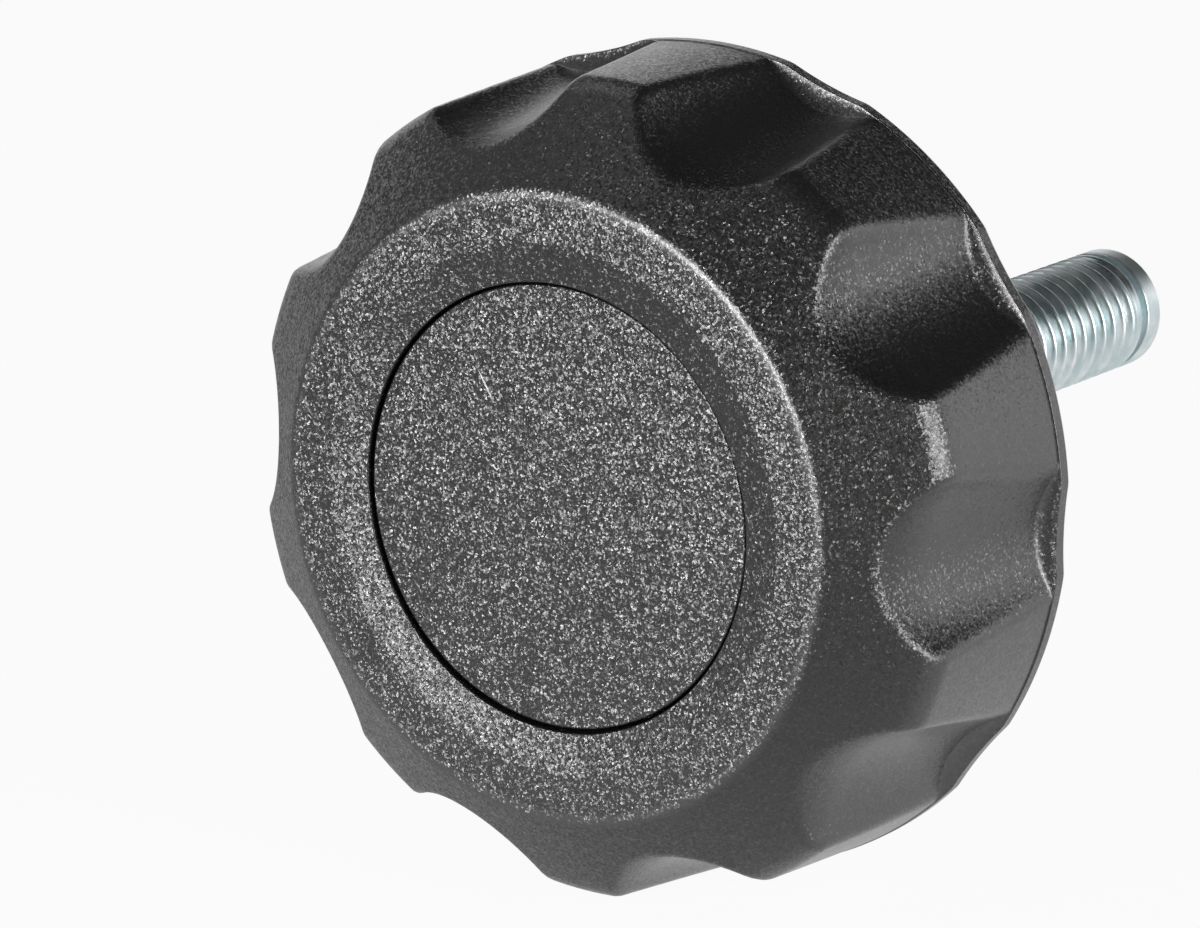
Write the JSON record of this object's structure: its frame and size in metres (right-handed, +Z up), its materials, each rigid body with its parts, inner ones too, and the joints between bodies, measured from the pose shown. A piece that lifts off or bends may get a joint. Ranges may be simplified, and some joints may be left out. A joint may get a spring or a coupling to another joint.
{
  "type": "knurled knob",
  "caption": "Round fluted clamping knob with a flat centre cap in its face and a threaded steel stud that ends in a retaining-ring groove.",
  "frame": {"origin": "on the knob's axis, in the plane of the hub's rear face and the rim's rear lip, where the stud leaves the knob", "axes": "+Y along the axis, from the face to the stud's tip; +Z up; a flute is centred on +X"},
  "size_m": [0.05, 0.065, 0.0504],
  "materials": {
    "grip_plastic": "black, spark-eroded grain",
    "cap_plastic": "black, spark-eroded grain",
    "zinc_steel": "bright zinc plated"
  },
  "bodies": {
    "root": {"knob_body": "grip_plastic", "centre_cap": "cap_plastic", "threaded_stud": "zinc_steel"}
  },
  "joints": []
}
